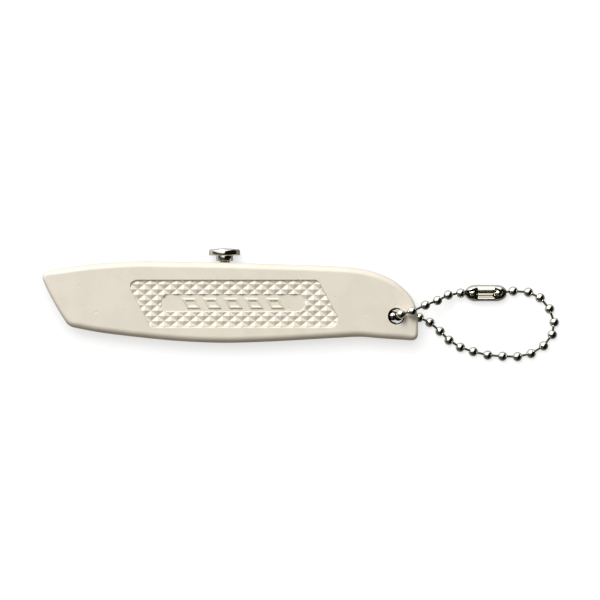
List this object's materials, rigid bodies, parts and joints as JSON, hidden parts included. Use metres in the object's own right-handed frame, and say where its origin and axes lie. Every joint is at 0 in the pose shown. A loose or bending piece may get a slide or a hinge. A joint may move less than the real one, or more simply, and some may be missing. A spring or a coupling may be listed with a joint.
{
  "type": "retractable utility knife",
  "caption": "Key-ring utility knife with two die-cast shells, a knurled grip, a button that presses and slides the blade out, and a bead chain through its tail.",
  "frame": {"origin": "centre of the knife's own outline, without the chain, on the plane that its back face rests on", "axes": "+X towards the tail and the chain, +Y towards the button on the top edge, +Z out of the front face"},
  "size_m": [0.1319, 0.0288, 0.0108],
  "materials": {
    "body_paint": "cream enamel with a satin sheen over die-cast zinc",
    "nickel": "bright nickel plate",
    "blade_steel": "ground carbon steel with a polished edge",
    "spring_steel": "dark spring steel",
    "bare_zinc": "bare die-cast zinc, matt"
  },
  "bodies": {
    "knife_body": {"front_shell": "body_paint", "back_shell": "body_paint", "body_screw": "nickel"},
    "slider": {"blade": "blade_steel", "blade_carrier": "bare_zinc", "lock_spring": "spring_steel", "spring_rivet": "spring_steel", "button_spring": "spring_steel"},
    "push_button": {"button": "nickel", "retaining_ring": "spring_steel"},
    "bead_chain": {"chain_bead_01": "nickel", "chain_bead_02": "nickel", "chain_bead_03": "nickel", "chain_bead_04": "nickel", "chain_bead_05": "nickel", "chain_bead_06": "nickel", "chain_bead_07": "nickel", "chain_bead_08": "nickel", "chain_bead_09": "nickel", "chain_bead_10": "nickel", "chain_bead_11": "nickel", "chain_bead_12": "nickel", "chain_bead_13": "nickel", "chain_bead_14": "nickel", "chain_bead_15": "nickel", "chain_bead_16": "nickel", "chain_bead_17": "nickel", "chain_bead_18": "nickel", "chain_bead_19": "nickel", "chain_bead_20": "nickel", "chain_bead_21": "nickel", "chain_bead_22": "nickel", "chain_bead_23": "nickel", "chain_bead_24": "nickel", "chain_bead_25": "nickel", "chain_bead_26": "nickel", "chain_bead_27": "nickel", "chain_bead_28": "nickel", "chain_connector": "nickel"}
  },
  "joints": [
    {"name": "blade_slide", "type": "slide", "parent": "knife_body", "child": "slider", "axis": [-1, 0, 0], "range_m": [0, 0.018], "deforming": ["lock_spring"]},
    {"name": "button_press", "type": "slide", "parent": "slider", "child": "push_button", "axis": [0, -1, 0], "range_m": [0, 0.001], "stiffness_N_per_m": 800, "springref_m": -0.0015, "deforming": ["button_spring"]},
    {"name": "chain_swing", "type": "hinge", "parent": "knife_body", "child": "bead_chain", "pos_m": [0.04233, -0.00525, 0], "axis": [0, 0, 1], "range_deg": [-12, 12]}
  ]
}
